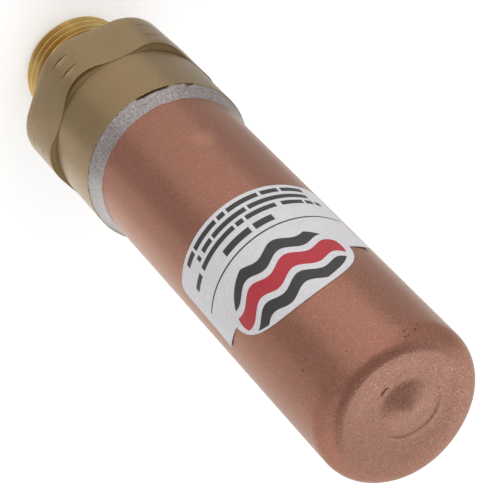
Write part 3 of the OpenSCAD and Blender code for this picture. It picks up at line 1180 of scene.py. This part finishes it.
CAMERA_AIM = Vector((0.14, -0.01, 74.47)) * MM
CAMERA_DISTANCE = 466.42 * MM
CAMERA_AZIMUTH = -5.4
CAMERA_ELEVATION = 49.03
CAMERA_ROLL = 136.58
CAMERA_LENS = 198.99
CAMERA_SENSOR_W = 36.0
CAMERA_CLIP_START = 0.01
FLOOR_HALF = 4.0
FLOOR_GLOW = 0.36
FLOOR_ROUGHNESS = 0.9
FLOOR_PATCHES_PER_METRE = 30.0
FLOOR_LOW = srgb(224, 224, 224)
FLOOR_HIGH = srgb(230, 230, 230)
PURE_WHITE = (1.0, 1.0, 1.0, 1.0)
BLACK = (0.0, 0.0, 0.0, 1.0)
WORLD_LEVEL = 0.75
CARD_R = 1.4
CARD_LIFT = 0.0003
CARD_FLOOR_STEPS = (0.024, 0.05, 0.1, 0.3, 0.8)
CARD_RISE_STEPS = 21
CARD_TURN_STEPS = 61
CARD_NEAR = 0.04
CARD_FAR = 0.11
CARD_PATCHES_PER_METRE = 8.0
CARD_WHITE = srgb(252, 252, 252)
ROOF_WARM = srgb(255, 234, 222)
ROOF_FROM = 60.0
# Name, azimuths from the camera, elevations, and brightness far from the part and near it
CARDS = (
    ("front_light", (-62.0, -10.0), (0.0, ROOF_FROM), 1.02, 0.8),
    ("front_card", (-10.0, 14.0), (0.0, ROOF_FROM), 0.9, 0.76),
    ("right_flag", (14.0, 58.0), (0.0, ROOF_FROM), 0.55, 0.56),
    ("right_card", (58.0, 92.0), (0.0, ROOF_FROM), 0.76, 0.9),
    ("left_card", (-132.0, -62.0), (0.0, ROOF_FROM), 0.64, 0.6),
    ("right_floor_card", (92.0, 180.0), (0.0, 0.5), 0.92, 1.2),
    ("left_floor_card", (180.0, 228.0), (0.0, 0.5), 0.92, 0.95),
    ("right_hood", (92.0, 145.0), (51.0, ROOF_FROM), 0.5, 0.5),
    ("left_hood", (-155.0, -132.0), (44.0, ROOF_FROM), 0.5, 0.5),
    ("roof_card", (-180.0, 180.0), (ROOF_FROM, 90.0), 0.42, 0.42),
)
LIGHTS_AIM = Vector((0.0, 0.0, 60.0)) * MM
# Name, azimuth from the camera, elevation, distance, width, height and power
LIGHTS = (
    ("front_softbox", -38.0, 25.0, 0.9, 0.9, 1.0, 3.2),
    ("side_softbox", 120.0, 25.0, 0.9, 0.9, 1.0, 2.9),
)


def turned_axes(azimuth, elevation, roll):
    """Right, up and back directions of something that looks at the part."""
    az, el, ro = (math.radians(v) for v in (azimuth, elevation, roll))
    back = Vector((math.sin(az) * math.cos(el), -math.cos(az) * math.cos(el), math.sin(el)))
    level = Vector((math.cos(az), math.sin(az), 0.0))
    rise = back.cross(level)
    right = level * math.cos(ro) + rise * math.sin(ro)
    return right, back.cross(right), back


def placed(made, aim, distance, azimuth, elevation, roll=0.0):
    right, up, back = turned_axes(azimuth, elevation, roll)
    place = aim + back * distance
    made.matrix_world = Matrix(
        [(right[i], up[i], back[i], place[i]) for i in range(3)] + [(0.0, 0.0, 0.0, 1.0)]
    )


def make_camera():
    data = bpy.data.cameras.new("camera")
    data.lens = CAMERA_LENS
    data.sensor_width = CAMERA_SENSOR_W
    data.clip_start = CAMERA_CLIP_START
    made = linked("camera", data)
    placed(made, CAMERA_AIM, CAMERA_DISTANCE, CAMERA_AZIMUTH, CAMERA_ELEVATION, CAMERA_ROLL)
    bpy.context.scene.camera = made


def seen_white(w):
    """1 for what the camera sees straight, in a reflection or through glass."""
    path = w.node("ShaderNodeLightPath").outputs
    seen = w.math("MAXIMUM", path["Is Camera Ray"], path["Is Glossy Ray"])
    return w.math("MAXIMUM", seen, path["Is Transmission Ray"])


def stage_mesh(name, verts, faces, finish):
    mesh = bpy.data.meshes.new(name)
    mesh.from_pydata([tuple(p) for p in verts], [], faces)
    mesh.materials.append(finish)
    return linked(name, mesh)


def make_floor():
    made, w, bsdf, place = new_material("pale_floor")
    w.put(bsdf["Base Color"], w.mix(w.noise(place, FLOOR_PATCHES_PER_METRE), FLOOR_LOW, FLOOR_HIGH))
    bsdf["Roughness"].default_value = FLOOR_ROUGHNESS
    bsdf["Specular IOR Level"].default_value = 0.0
    bsdf["Emission Color"].default_value = PURE_WHITE
    w.put(bsdf["Emission Strength"], w.math("MULTIPLY", seen_white(w), FLOOR_GLOW))
    half = FLOOR_HALF
    corners = [(-half, -half, 0), (half, -half, 0), (half, half, 0), (-half, half, 0)]
    floor = stage_mesh("floor", corners, [(0, 1, 2, 3)], made)


def make_world():
    world = bpy.data.worlds.new("studio")
    bpy.context.scene.world = world
    world.use_nodes = True
    w = Wires(world.node_tree)
    back = world.node_tree.nodes["Background"].inputs
    back["Color"].default_value = PURE_WHITE
    w.put(back["Strength"], w.ramp(seen_white(w), WORLD_LEVEL, 1.0))


def make_card(name, azimuths, elevations, level, level_near):
    """Grey card out of the picture, between two azimuths from the camera, which only the metal mirrors."""
    made, w, bsdf, place = new_material(name)
    bsdf["Base Color"].default_value = BLACK
    bsdf["Specular IOR Level"].default_value = 0.0
    warm = ROOF_WARM if elevations[1] > ROOF_FROM else CARD_WHITE
    w.put(bsdf["Emission Color"], w.mix(w.noise(place, CARD_PATCHES_PER_METRE), warm, CARD_WHITE))
    x, y, _ = w.axes(place)
    w.put(bsdf["Emission Strength"], w.span(w.from_middle(x, y), CARD_NEAR, CARD_FAR, level_near, level))
    profile = [(r, CARD_LIFT) for r in CARD_FLOOR_STEPS] if elevations[0] == 0.0 else []
    for el in np.radians(np.linspace(*elevations, CARD_RISE_STEPS)):
        profile.append((CARD_R * math.cos(el), CARD_LIFT + CARD_R * math.sin(el)))
    turn = np.radians(np.linspace(*azimuths, CARD_TURN_STEPS) + CAMERA_AZIMUTH - 90.0)
    verts, faces = skin([ring(r, z, turn) for r, z in profile])
    seam = CARD_TURN_STEPS - 1
    open_faces = [face for i, face in enumerate(faces) if i % CARD_TURN_STEPS != seam]
    card = stage_mesh(name, verts, open_faces, made)
    for ray in ("camera", "diffuse", "transmission", "shadow"):
        setattr(card, "visible_" + ray, False)


def make_lights():
    for name, azimuth, elevation, distance, width, height, power in LIGHTS:
        data = bpy.data.lights.new(name, "AREA")
        data.shape = "RECTANGLE"
        data.size = width
        data.size_y = height
        data.energy = power
        made = linked(name, data)
        made.visible_glossy = False
        placed(made, LIGHTS_AIM, distance, CAMERA_AZIMUTH + azimuth, elevation)


# The part on its stage


make_barrel(blasted_copper())
make_fitting(dull_brass(), turned_brass(), bright_brass(), grime_and_shade_brass())
make_solder(run_solder())
make_label(printed_label())
coat_node("piston", moulded_acetal())
rubber = greased_rubber()
for seal in ("lower_o_ring", "upper_o_ring"):
    coat_node(seal, rubber)

make_camera()
make_floor()
make_world()
for card in CARDS:
    make_card(*card)
make_lights()
bpy.context.scene.view_settings.view_transform = "Standard"
